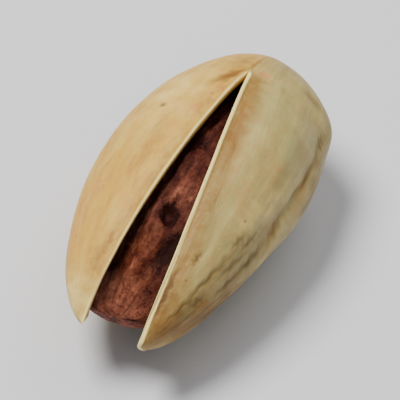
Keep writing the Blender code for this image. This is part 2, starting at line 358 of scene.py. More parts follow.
def leaningPatch(share, angle, atShare, atAngle, lengthShare, width, slope):
    # the same spot along a line that turns round the nut by the slope as it runs along it, slightly bent
    line = atAngle + slope * (share - atShare) + 0.35 * width * np.sin(9.0 * (share - atShare) / lengthShare)
    return bell(share, atShare, lengthShare) * bell(angle, line, width)


def outsideRelief(name, share, angle):
    # height over the plain shell, and how deep in a groove each point lies from 0 to 1
    side = valves[name]["side"]
    body = np.sin(math.pi * share) ** 0.8
    sidewards = np.sin(angle) ** 2
    phase = 0.9 + 1.3 * side
    ribs = 0.6 * np.sin(7.0 * angle + phase + 1.5 * share) + 0.4 * np.sin(12.0 * angle - phase)
    height = relief["ribs"] * ribs * body * sidewards

    coordinates = np.moveaxis(fibreCoordinates(side, share, angle), -1, 0)
    lumps = stretchedNoise(coordinates, relief["lumpSize"], 11)
    fibres = stretchedNoise(coordinates, relief["fibreSize"], 23)
    bumps = stretchedNoise(coordinates, relief["bumpSize"], 71, 2)
    height = height + body * (relief["lumps"] * lumps + relief["bumps"] * bumps + relief["fibres"] * fibres)
    hollow = 0.35 * smoothStep(-bumps, 0.45, 1.2)

    if side > 0:
        along = bell(share, relief["foldShare"], relief["foldSpan"])
        groove = relief["groove"] * bell(angle, relief["grooveAngle"], relief["grooveWidth"])
        fold = relief["fold"] * bell(angle, relief["foldAngle"], relief["foldWidth"])
        height = height + along * (fold - groove)
        height = height + relief["shoulder"] * patch(share, angle, *relief["shoulderSpot"])

    for atShare, atAngle, halfLength, halfWidth, slope, raised, tone, strength in marks[name]:
        if raised != 0.0:
            mark = leaningPatch(share, angle, atShare, atAngle, halfLength, halfWidth, slope)
            height = height + raised * mm * mark
            if raised < -relief["bankFrom"]:
                wide = halfWidth * relief["bankWidth"]
                banks = leaningPatch(share, angle, atShare, atAngle, halfLength, wide, slope)
                height = height - raised * mm * relief["bankHeight"] * banks
                hollow = np.maximum(hollow, 0.8 * mark)

    seamAway = (lastAngle(name, share) - angle) * nut["bottomDepth"]
    seamAway = np.minimum(angle * nut["topHeight"], seamAway)
    closed = np.where(angle < math.pi / 2, smoothStep(share, 0.25, 0.15), smoothStep(share, 0.56, 0.48))
    seam = relief["seamRidge"] * bell(seamAway, relief["seamRidgeAway"], relief["seamRidgeWidth"])
    seam = seam - relief["seamGroove"] * bell(seamAway, 0.0, relief["seamGrooveWidth"])
    height = height + closed * body * seam
    bead = split["bead"] * bell(seamAway, split["beadAway"], split["beadWidth"])
    bead = bead - split["beadDip"] * bell(seamAway, split["beadDipAway"], split["beadDipWidth"])
    height = height + (1.0 - closed) * smoothStep(share, 1.0, 0.9) * bead
    hollow = np.maximum(hollow, 0.8 * closed * bell(seamAway, 0.0, 0.11 * mm))
    return height, hollow


def valveSurface(name, share, angle, inner):
    # x = side * (half width * arch * sin(angle)^1.08 + gap), y = length * (1/2 - share),
    # z = seam height * arch * cos(angle) - drop * share^3; from the split's start the gap grows as
    # sin(pi/2 * open^lag) at the rims, and as a power of open at the cheeks below them
    valve = valves[name]
    side = valve["side"]
    wall, rimWall = (nut["wall"] - nut["wallTaper"] * share**4, nut["rimWall"]) if inner else (0.0, 0.0)
    halfWidth = (valve["halfWidth"] - wall) * arch(share, valve["powers"])
    above = (nut["topHeight"] - rimWall) * arch(share, nut["topPowers"])
    below = (nut["bottomDepth"] - wall) * arch(share, nut["bottomPowers"])
    seamHeight = np.where(angle < math.pi / 2, above, below)

    if inner:
        height, hollow = np.zeros_like(share), np.zeros_like(share)
    else:
        height, hollow = outsideRelief(name, share, angle)
    across = halfWidth * np.sin(angle) ** nut["cheekPower"] + height * np.sin(angle)
    upright = (seamHeight + height) * np.cos(angle)

    nearTop = 0.5 + 0.5 * np.cos(angle)
    topOpen = opened(share, split["topStart"])
    bottomOpen = opened(share, split["bottomStart"])
    nearRim = nearTop ** split["rimPower"]
    cheekGap = topOpen ** (split["topPower"] + split["cheekPower"] * (1.0 - nearTop))
    topGap = np.sin(0.5 * math.pi * topOpen ** valve["lag"]) * nearRim + cheekGap * (1.0 - nearRim)
    bottomGap = bottomOpen ** split["bottomPower"]
    gap = valve["opening"] * (topGap * nearTop + bottomGap * (1.0 - nearTop))

    # the rims draw back by the lip's own roundness, and wander a little, only where the seam is open
    rimTop = smoothStep(topOpen, 0.0, 0.12) * bell(angle, 0.0, 0.03)
    rimBottom = smoothStep(bottomOpen, 0.0, 0.12) * bell(angle, lastAngle(name, share), 0.03)
    none = 0.0 * share
    wander = layeredNoise(share * split["lipWaves"], side * 7.3 + none, 0.5 + none, 5)
    wander = split["lipWander"] * wander
    fadeOut = smoothStep(share, 1.0, 0.985)
    gap = gap + fadeOut * (split["lipRound"] * (rimTop + rimBottom))
    atTop = smoothStep(topOpen, 0.0, 0.1) * nearTop**6
    atBottom = smoothStep(bottomOpen, 0.0, 0.1) * (1.0 - nearTop) ** 6
    gap = gap + fadeOut * wander * (atTop + atBottom)

    if inner:
        fading = nut["endWallPower"]
        y = nut["length"] * (0.5 - share) - nut["stemWall"] * (1.0 - share) ** fading
        y = y + nut["tipWall"] * share**fading
    else:
        away = np.hypot(across, upright)
        turn = np.arctan2(side * across, upright)
        collar = scar["height"] / (1.0 + np.exp(4.0 * (away - scar["radius"]) / scar["edge"]))
        centre = scar["dimple"] * bell(away, 0.0, scar["dimpleRadius"])
        pits = np.clip(np.cos(scar["pits"] * turn), 0.0, 1.0) ** 2
        ring = bell(away, scar["pitRing"], scar["pitWidth"]) * pits
        spokes = np.cos(scar["grooves"] * turn + 2.0 * np.sin(3.0 * turn))
        spokes = bell(away, scar["grooveAway"], scar["grooveSpan"]) * spokes
        carved = collar - centre - scar["pitDepth"] * ring + scar["grooveDepth"] * spokes
        y = nut["length"] * (0.5 - share) + np.where(share < 0.2, carved, 0.0)
        sunk = np.maximum(ring, 0.5 * bell(away, 0.0, 0.4 * mm))
        hollow = np.where(share < 0.2, np.maximum(hollow, sunk), hollow)
    points = np.stack([side * (across + gap), y, upright - nut["tipDrop"] * share**3], axis=-1)
    return points, hollow


def ringShares(rings):
    # 1/2 - cos(pi * ring / rings) / 2: rings crowd towards both ends
    return 0.5 - 0.5 * np.cos(math.pi * np.arange(rings + 1) / rings)


def stepAngles(steps, crowding):
    # pi * (t - crowding * sin(2 pi t) / (2 pi)): steps crowd towards both seams
    t = np.arange(steps + 1) / steps
    return math.pi * (t - crowding * np.sin(2 * math.pi * t) / (2 * math.pi))


def shellValues(name, share, angle, hollow, lip, inside, points, beside=0.0):
    # what the shell's material reads at each point
    side = valves[name]["side"]
    closed = np.where(angle < math.pi / 2, smoothStep(share, 0.21, 0.16), smoothStep(share, 0.54, 0.48))
    sharp = 1.0 if side > 0 else 0.0
    soft = smoothStep(points[..., 0], -0.9 * mm, 0.9 * mm)
    rightness = closed * soft + (1.0 - closed) * sharp
    toned = {tone: np.zeros_like(share) for tone in tones}
    for *spot, raised, tone, strength in marks[name]:
        mark = leaningPatch(share, angle, *spot)
        toned[tone] = np.maximum(toned[tone], strength * mark)
    pin = np.zeros_like(share)
    for atShare, atAngle, radius in pinholes[name]:
        size = radius / (5.0 * mm)
        pin = pin + patch(share, angle, atShare, atAngle, radius / nut["length"], size)
    away = np.hypot(points[..., 0], points[..., 2])
    scarTone = np.where(share < 0.2, smoothStep(away, 1.75 * mm, 1.25 * mm), 0.0)
    single = {
        "rightness": rightness, "hollow": hollow, "lip": lip, "inside": inside,
        "beside": beside + 0.0 * share, "pin": np.clip(pin, 0, 1), "scar": scarTone,
        **toned,
    }
    values = {key: value[..., None] for key, value in single.items()}
    values["fibre"] = fibreCoordinates(side, share, angle)
    return values


def lipStrip(name, outerEdge, innerEdge, share, start, steps):
    # from the outer edge to the inner one, bulging to the seam by (1 - |2w - 1|^3)^(1/3) * roundness
    w = ringShares(steps)[None, :, None]
    points = outerEdge[:, None, :] * (1.0 - w) + innerEdge[:, None, :] * w
    bulge = split["lipRound"] * (1.0 - np.abs(2.0 * w[..., 0] - 1.0) ** 3) ** (1.0 / 3.0)
    fade = smoothStep(opened(share, start), 0.0, 0.12) * smoothStep(share, 1.0, 0.985)
    points[..., 0] -= valves[name]["side"] * bulge * fade[:, None]
    return points


def valveGrid(name, shares, steps):
    # every share with every angle from 0 to the valve's last one
    share, angle = np.meshgrid(shares, stepAngles(steps, shellGrid["crowding"]), indexing="ij")
    return share, angle * lastAngle(name, share) / math.pi


def buildShell():
    shares = ringShares(shellGrid["rings"])
    parts = []
    topRing = int(np.abs(shares - split["topStart"]).argmin())
    bottomRing = int(np.abs(shares - split["bottomStart"]).argmin())
    split["topStart"] = shares[topRing]
    split["bottomStart"] = shares[bottomRing]
    flatHeight = None
    for name in valves:
        outerShare, outerAngle = valveGrid(name, shares, shellGrid["outerSteps"])
        innerShare, innerAngle = valveGrid(name, shares, shellGrid["innerSteps"])
        outer, hollow = valveSurface(name, outerShare, outerAngle, False)
        inner = valveSurface(name, innerShare, innerAngle, True)[0]
        if flatHeight is None:
            plainSeam = nut["bottomDepth"] * arch(shares, nut["bottomPowers"]) + nut["tipDrop"] * shares**3
            flatHeight = -plainSeam.max() + nut["restFlat"]
        outer[..., 2] = np.maximum(outer[..., 2], flatHeight)
        for surface in (outer, inner):
            surface[0] = surface[0, 0]
            surface[-1] = surface[-1, 0]
            surface[0, :, 0] = 0.0

        upper = outerAngle < math.pi / 2
        topLip = smoothStep(opened(outerShare, split["topStart"]), 0.0, 0.03)
        bottomLip = smoothStep(opened(outerShare, split["bottomStart"]), 0.0, 0.03)
        nearLip = np.where(upper, topLip, bottomLip)
        topAway = outerAngle * arch(outerShare, nut["topPowers"])
        bottomAway = (lastAngle(name, outerShare) - outerAngle) * arch(outerShare, nut["bottomPowers"])
        edgeAway = np.minimum(topAway, bottomAway)
        # pale at the rims: the broken edge's own cream, and a painted highlight along the rounded rim
        rimPaleAndHighlight = nearLip * smoothStep(edgeAway, split["rimFade"][name], 0.0)
        none, fades = 0.0 * outerShare, split["besideFade"][name]
        wavy = layeredNoise(3.0 * outerAngle, 1.3 * valves[name]["side"] + none, 26.0 * outerShare, 61)
        wavy = 1.0 + 0.3 * wavy
        # golden and darker beside the rims: partly the shell's tone, partly painted shade of the dip beside
        # them
        beside = nearLip * smoothStep(edgeAway, 0.02, 0.06)
        beside = beside * smoothStep(edgeAway, fades * 1.9, fades * 0.7 * wavy) * np.where(upper, 1.0, 0.4)
        values = shellValues(name, outerShare, outerAngle, hollow, rimPaleAndHighlight, none, outer, beside)
        parts.append({"points": outer, "values": values})
        ones = np.ones_like(innerShare)
        values = shellValues(name, innerShare, innerAngle, 0.0 * ones, 0.0 * ones, ones, inner)
        parts.append({"points": inner, "values": values})
        lipSteps = shellGrid["lipSteps"]
        for edge, first in ((0, topRing), (-1, bottomRing)):
            outerEdge, innerEdge, edgeShare = outer[first:, edge], inner[first:, edge], shares[first:]
            strip = lipStrip(name, outerEdge, innerEdge, edgeShare, shares[first], lipSteps)
            stripAngle = outerAngle[first:, edge][:, None] + np.zeros((1, lipSteps + 1))
            stripShare = np.repeat(edgeShare[:, None], lipSteps + 1, axis=1)
            depth = np.repeat(ringShares(lipSteps)[None, :], len(edgeShare), axis=0)
            # painted shade deep in the broken edge, in the inside's colour
            lipShade = smoothStep(depth, *split["lipShadeDepths"][name])
            ones = np.ones_like(depth)
            values = shellValues(name, stripShare, stripAngle, 0.0 * depth, ones, lipShade, strip)
            parts.append({"points": strip, "values": values})
    return parts


# The kernel

seed = {
    "stemY": 7.9 * mm,
    "tipY": -9.35 * mm,
    "halfWidth": 3.8 * mm,
    "top": 3.85 * mm,
    "bottom": 3.9 * mm,
    "sidePowers": (0.46, 0.34),
    "topPowers": (0.44, 0.79),
    "bottomPowers": (0.44, 0.52),
    "shift": -0.1 * mm,
    "lean": 0.18 * mm,
    "fullness": 0.04,  # how much its upper side swells between its top and its sides
    "slant": 0.45 * mm,  # its end reaches this much further on the left and less on the right
    "creaseDepth": 0.25 * mm,
    "creaseDeepest": 0.35 * mm,  # this much more at creaseDeepShare
    "creaseDeepShare": 0.75,
    "creaseWidth": 0.1,
    "creaseStart": -0.1,  # the crease's angle at the stem end, from where it bends towards the left valve
    "creaseSlope": -0.28,
    "wrinkles": 0.11 * mm,
    "fineWrinkles": 0.07 * mm,
    "crumple": 0.12 * mm,
    "fineSize": (0.7, 2.6),  # width and length of the fine wrinkles in millimetres
    "crumpleSize": (0.75, 1.2),
    "eyeShare": 0.667,  # a small dent beside the middle of the split
    "eyeAngle": 0.16,
    "eyeLength": 0.028,
    "eyeWidth": 0.155,
    "eyeDepth": 0.42 * mm,
    "bandShare": 0.78,  # a longer hollow under the right rim
    "bandAngle": 0.42,
    "bandLength": 0.075,
    "bandWidth": 0.15,
    "bandDepth": 0.22 * mm,
    "spine": 0.14 * mm,  # the ridge between the middle of the upper side and its end
    "spineAngle": 0.07,
    "spineWidth": 0.1,
    "endDimple": 0.12 * mm,
    "rings": 250,
    "steps": 260,
}


# Soft spots on the kernel: share, angle from its top, half length as a share, half width in radians, then a
# tone and its strength
kernelSpots = (
    (0.24, 0.0, 0.2, 0.9, "dark", 0.6),
    (0.975, -1.0, 0.03, 0.35, "dark", 0.8),
    (0.995, 1.31, 0.005, 0.3, "dark", 2.4),
    (0.61, 0.12, 0.06, 0.24, "pale", 0.6),
    (0.69, -0.1, 0.045, 0.09, "pale", 0.6),
    (0.925, -0.4, 0.04, 0.4, "pale", 0.7),
)


def kernelSurface(share, angle):
    # x = half width * arch * sin(angle), z = top or bottom * arch * cos(angle), both swollen between the
    # top and the sides; y runs evenly from stem to tip, and a little further on the left; over it lie long
    # sine wrinkles, noise stretched along the seed, and a crease above and below
    coordinates = np.moveaxis(fibreCoordinates(1.0, share, angle), -1, 0)
    creaseAngle = seed["creaseStart"] + seed["creaseSlope"] * share
    topCrease = bell(np.sin((angle - creaseAngle) / 2), 0.0, seed["creaseWidth"])
    bottomCrease = bell(np.cos(angle / 2), 0.0, seed["creaseWidth"])
    topDepth = seed["creaseDepth"] + seed["creaseDeepest"] * bell(share, seed["creaseDeepShare"], 0.22)
    wrinkles = 0.5 * np.sin(5.0 * angle + 2.1 + 3.0 * share) + 0.3 * np.sin(9.0 * angle - 4.0 * share)
    wrinkles = wrinkles + 0.2 * np.sin(3.0 * angle + 21.0 * share)
    fine = stretchedNoise(coordinates, seed["fineSize"], 31)
    crumple = stretchedNoise(coordinates, seed["crumpleSize"], 47)
    folds = 1.0 - np.abs(fine)  # sharp ridges where the noise crosses 0
    body = np.sin(math.pi * share) ** 0.5
    height = seed["wrinkles"] * wrinkles - topDepth * topCrease - seed["creaseDepth"] * bottomCrease
    height = height + seed["fineWrinkles"] * (folds - 0.6) * 1.4 + seed["crumple"] * crumple

    halfWidth = seed["halfWidth"] * arch(share, seed["sidePowers"])
    above = seed["top"] * arch(share, seed["topPowers"])
    below = seed["bottom"] * arch(share, seed["bottomPowers"])
    upright = np.where(np.cos(angle) > 0, above, below)
    # turned is the angle from -pi to pi, 0 at the top
    turned = np.minimum(angle, 2 * math.pi - angle) * np.where(angle > math.pi, -1.0, 1.0)
    eyeAlong = (share - seed["eyeShare"]) / seed["eyeLength"]
    eyeRound = (turned - seed["eyeAngle"]) / seed["eyeWidth"]
    fromEye = np.hypot(eyeAlong, eyeRound) * (1.0 + 0.22 * crumple)
    dent = np.exp(-(fromEye**2))
    bandAngle = seed["bandAngle"] - 2.2 * np.maximum(share - 0.8, 0.0)
    band = bell(share, seed["bandShare"], seed["bandLength"]) * bell(turned, bandAngle, seed["bandWidth"])
    spine = bell(turned, seed["spineAngle"] + 0.08 * np.sin(26.0 * share), seed["spineWidth"])
    spine = spine * smoothStep(share, 0.42, 0.55) * smoothStep(share, 0.95, 0.86)
    height = body * height + seed["spine"] * spine - seed["eyeDepth"] * dent - seed["bandDepth"] * band
    swell = np.where(np.cos(angle) > 0, np.sin(2.0 * angle) ** 2, 0.0)
    full = 1.0 + seed["fullness"] * swell * (1.0 - share**4)
    across = full * (halfWidth + height) * np.sin(angle)
    along = seed["stemY"] + (seed["tipY"] - seed["stemY"]) * share
    along = along + seed["endDimple"] * bell(share, 1.0, 0.012)
    along = along + seed["slant"] * share**6 * across / seed["halfWidth"]
    upwards = full * (upright + height) * np.cos(angle) - nut["tipDrop"] * share**3
    points = np.stack([seed["shift"] + seed["lean"] * share**2 + across, along, upwards], axis=-1)

    # tones: the spots; dark in the eye and the band, their own colour and partly painted shade in these
    # dents; painted shade in the crumples' hollows, by the right rim and on the left flank under the left
    # valve; pale as a painted highlight on the spine and the crumples' crests, and paler towards the end,
    # with painted light on its shaded last face
    spots = {"dark": 0.0, "pale": 0.0}
    for *spot, tone, strength in kernelSpots:
        spots[tone] = spots[tone] + strength * patch(share, turned, *spot)
    dark = spots["dark"] + 1.1 * bell(fromEye, 0.75, 0.42) + 0.5 * dent + 1.7 * band
    dark = dark + 0.7 * smoothStep(-crumple, 0.15, 0.9)
    dark = dark + 0.9 * smoothStep(turned, 0.34, 0.56) * bell(share, 0.76, 0.13)
    dark = dark + 0.45 * smoothStep(turned, -0.22, -0.5) * bell(share, 0.7, 0.16)
    warm = smoothStep(share, 0.66, 0.84) * bell(turned, -0.02, 0.55)
    pale = spots["pale"] + 0.55 * smoothStep(share, 0.86, 0.95) + 0.5 * smoothStep(share, 0.94, 0.975)
    pale = pale + 0.3 * spine + 0.45 * smoothStep(crumple, 0.2, 1.0)
    # hollow marks the creases and wrinkle valleys for painted shade, ridge the wrinkle ridges for a painted
    # highlight
    single = {
        "hollow": np.clip(topCrease + bottomCrease + smoothStep(np.abs(fine), 0.35, 1.0), 0, 1),
        "ridge": smoothStep(np.abs(fine), 0.22, 0.0),
        "dark": dark, "warm": warm, "pale": pale,
    }
    values = {key: value[..., None] for key, value in single.items()}
    values["fibre"] = fibreCoordinates(1.0, share, angle)
    return points, values


def buildKernel():
    shares = ringShares(seed["rings"])
    angles = np.linspace(0.0, 2 * math.pi, seed["steps"] + 1)
    share, angle = np.meshgrid(shares, angles, indexing="ij")
    points, values = kernelSurface(share, angle)
    points[0] = points[0, 0]
    points[-1] = points[-1, 0]
    points[:, -1] = points[:, 0]
    return [{"points": points, "values": values}]


print("working out the shell")
shellParts = buildShell()
print("working out the kernel")
kernelParts = buildKernel()

# Both move together to where the CAD shell stands
shellPoints = np.concatenate([part["points"].reshape(-1, 3) for part in shellParts])
lowCorner, highCorner = (np.array(corner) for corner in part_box("shell"))
ownLow, ownHigh = shellPoints.min(axis=0), shellPoints.max(axis=0)
placeBy = (lowCorner + highCorner - ownLow - ownHigh) / 2
placeBy[2] = lowCorner[2] - ownLow[2]
for part in shellParts + kernelParts:
    part["points"] = part["points"] + placeBy

shell = meshPiece("shellValves", shellParts)
kernel = meshPiece("kernelSeed", kernelParts)


# Helpers for materials

def addNode(tree, kind, **settings):
    # makes a node; a setting that names an input, with _ for a space, sets or links that input
    node = tree.nodes.new(kind)
    for key, value in settings.items():
        if hasattr(node, key):
            setattr(node, key, value)
            continue
        numbered = key.startswith("in") and key[2:].isdigit()
        socket = node.inputs[int(key[2:]) if numbered else key.replace("_", " ")]
        if isinstance(value, bpy.types.NodeSocket):
            tree.links.new(value, socket)
        else:
            socket.default_value = value
    return node


def colour(red, green, blue):
    # a screen colour from 0 to 255 turned into light: c / 12.92 when dark, else ((c + 0.055) / 1.055)^2.4
    parts = [part / 255.0 for part in (red, green, blue)]
    return (*[c / 12.92 if c <= 0.04045 else ((c + 0.055) / 1.055) ** 2.4 for c in parts], 1.0)


def attribute(tree, name, output="Fac"):
    node = addNode(tree, "ShaderNodeAttribute", attribute_type="GEOMETRY", attribute_name=name)
    return node.outputs[output]


def math2(tree, operation, a, b=0.0, clamp=False):
    return addNode(tree, "ShaderNodeMath", operation=operation, use_clamp=clamp, in0=a, in1=b).outputs[0]


def scaled(tree, value, scale, offset):
    # value * scale + offset
    node = addNode(tree, "ShaderNodeMath", operation="MULTIPLY_ADD", in0=value, in1=scale, in2=offset)
    return node.outputs[0]


def between(tree, value, low, high):
    # 0 below low, 1 above high, smooth between
    node = addNode(tree, "ShaderNodeMapRange", interpolation_type="SMOOTHSTEP", in0=value, in1=low, in2=high)
    return node.outputs[0]


def blendColour(tree, factor, first, second):
    return addNode(tree, "ShaderNodeMix", data_type="RGBA", in0=factor, in6=first, in7=second).outputs[2]


def startGroup(name, inputs, outputs):
    # a node group; an input with no usual value is a vector, and every other socket is a number
    group = bpy.data.node_groups.new(name, "ShaderNodeTree")
    for label, value in inputs.items():
        kind = "NodeSocketVector" if value is None else "NodeSocketFloat"
        socket = group.interface.new_socket(name=label, in_out="INPUT", socket_type=kind)
        if value is not None:
            socket.default_value = value
    for label in outputs:
        group.interface.new_socket(name=label, in_out="OUTPUT", socket_type="NodeSocketFloat")
    return group, group.nodes.new("NodeGroupInput").outputs, group.nodes.new("NodeGroupOutput").inputs


def putOutNoise(group, noise, given, out):
    # the noise itself as a height, and cut softly between the two levels as a mask
    group.links.new(between(group, noise.outputs[0], given["Low"], given["High"]), out["Mask"])
    group.links.new(noise.outputs[0], out["Height"])
    return group


def makeStreaks():
    # noise stretched along the nut: x and y divided by the width, z by the length
    usual = {"Coordinates": None, "Width": 0.5, "Length": 5.0, "Low": 0.5, "High": 0.7, "Seed": 0.0}
    group, given, out = startGroup("lengthwiseStreaks", usual, ("Mask", "Height"))
    size = addNode(group, "ShaderNodeCombineXYZ", X=given["Width"], Y=given["Width"], Z=given["Length"])
    place, size = given["Coordinates"], size.outputs[0]
    shrunk = addNode(group, "ShaderNodeVectorMath", operation="DIVIDE", in0=place, in1=size).outputs[0]
    moved = addNode(group, "ShaderNodeVectorMath", operation="ADD", in0=shrunk, in1=given["Seed"]).outputs[0]
    noise = addNode(group, "ShaderNodeTexNoise", Vector=moved, Scale=1.0, Detail=4.0, Roughness=0.6)
    return putOutNoise(group, noise, given, out)


def makeMottle():
    # even noise
    usual = {"Coordinates": None, "Size": 1.0, "Low": 0.45, "High": 0.65, "Warp": 0.4}
    group, given, out = startGroup("mottle", usual, ("Mask", "Height"))
    scale = math2(group, "DIVIDE", 1.0, given["Size"])
    noise = addNode(
        group, "ShaderNodeTexNoise", Vector=given["Coordinates"], Scale=scale, Detail=5.0, Roughness=0.6,
        Distortion=given["Warp"],
    )
    return putOutNoise(group, noise, given, out)


def makeSpecks():
    # cells as wide as the spacing; a share of them holds a soft dot of the given radius at its centre
    usual = {"Coordinates": None, "Spacing": 1.0, "Radius": 0.1, "Share": 0.3}
    group, given, out = startGroup("specks", usual, ("Mask",))
    scale = math2(group, "DIVIDE", 1.0, given["Spacing"])
    cells = addNode(group, "ShaderNodeTexVoronoi", Vector=given["Coordinates"], Scale=scale)
    radius = math2(group, "DIVIDE", given["Radius"], given["Spacing"])
    inner = math2(group, "MULTIPLY", radius, 0.35)
    dot = math2(group, "SUBTRACT", 1.0, between(group, cells.outputs["Distance"], inner, radius))
    red = addNode(group, "ShaderNodeSeparateColor", in0=cells.outputs["Color"]).outputs[0]
    chosen = math2(group, "LESS_THAN", red, given["Share"])
    group.links.new(math2(group, "MULTIPLY", dot, chosen), out["Mask"])
    return group


streaksGroup = makeStreaks()
mottleGroup = makeMottle()
specksGroup = makeSpecks()


def useGroup(tree, group, output="Mask", **inputs):
    return addNode(tree, "ShaderNodeGroup", node_tree=group, **inputs).outputs[output]


def millimetreCoordinates(tree):
    place = addNode(tree, "ShaderNodeTexCoord").outputs["Object"]
    return addNode(tree, "ShaderNodeVectorMath", operation="SCALE", in0=place, Scale=1000.0).outputs[0]


def alongFirst(tree):
    # object coordinates in millimetres with the nut's length as z, as the streaks take it
    parts = addNode(tree, "ShaderNodeSeparateXYZ", in0=millimetreCoordinates(tree)).outputs
    return addNode(tree, "ShaderNodeCombineXYZ", X=parts[0], Y=parts[2], Z=parts[1]).outputs[0]


def newMaterial(name):
    material = bpy.data.materials.new(name)
    material.use_nodes = True
    tree = material.node_tree
    return material, tree, tree.nodes["Principled BSDF"]


def streaks(tree, fibre, width, length, low, high, seed):
    # sizes in millimetres; the mask rises between the low and the high level of the noise
    return useGroup(
        tree, streaksGroup, Coordinates=fibre, Width=width, Length=length, Low=low, High=high, Seed=seed
    )


def mottle(tree, place, size, low, high, warp):
    return useGroup(tree, mottleGroup, Coordinates=place, Size=size, Low=low, High=high, Warp=warp)


def weighted(tree, mask, weight):
    # mask * weight, held between 0 and 1
    return math2(tree, "MULTIPLY", mask, weight, clamp=True)


def finish(tree, shader, base, rough, height):
    tree.links.new(base, shader.inputs["Base Color"])
    tree.links.new(rough, shader.inputs["Roughness"])
    bump = addNode(tree, "ShaderNodeBump", Strength=1.0, Distance=mm, Height=height)
    tree.links.new(bump.outputs[0], shader.inputs["Normal"])


def tint(tree, base, mask, weight, tone):
    # the base, blended towards the tone by the weighted mask
    return blendColour(tree, weighted(tree, mask, weight), base, tone)


# Finish of the shell

shellFinish = {
    "cream": colour(206, 166, 73),
    "creamDeep": colour(190, 144, 62),
    "straw": colour(214, 190, 104),
    "tan": colour(172, 124, 56),
    "blush": colour(202, 138, 84),
    "greyBeige": colour(174, 158, 103),
    "paleBeige": colour(188, 179, 124),
    "green": colour(166, 170, 118),
    "pale": colour(238, 216, 142),
    # gold, also for the painted shade beside the rims
    "gold": colour(142, 104, 44),
    # olive for stains, also painted shade
    "olive": colour(104, 80, 40),
    "brown": colour(84, 58, 28),
    "rustAndShade": colour(134, 84, 34),
    # cream of the broken edge, bright enough to be also a painted highlight along the rims
    "lip": colour(255, 238, 168),
    # the inside, also used for the painted shade deep in the broken edge
    "inside": colour(190, 146, 84),
    "insideDark": colour(132, 88, 44),
    "scar": colour(150, 104, 58),
    "pin": colour(60, 38, 18),
}


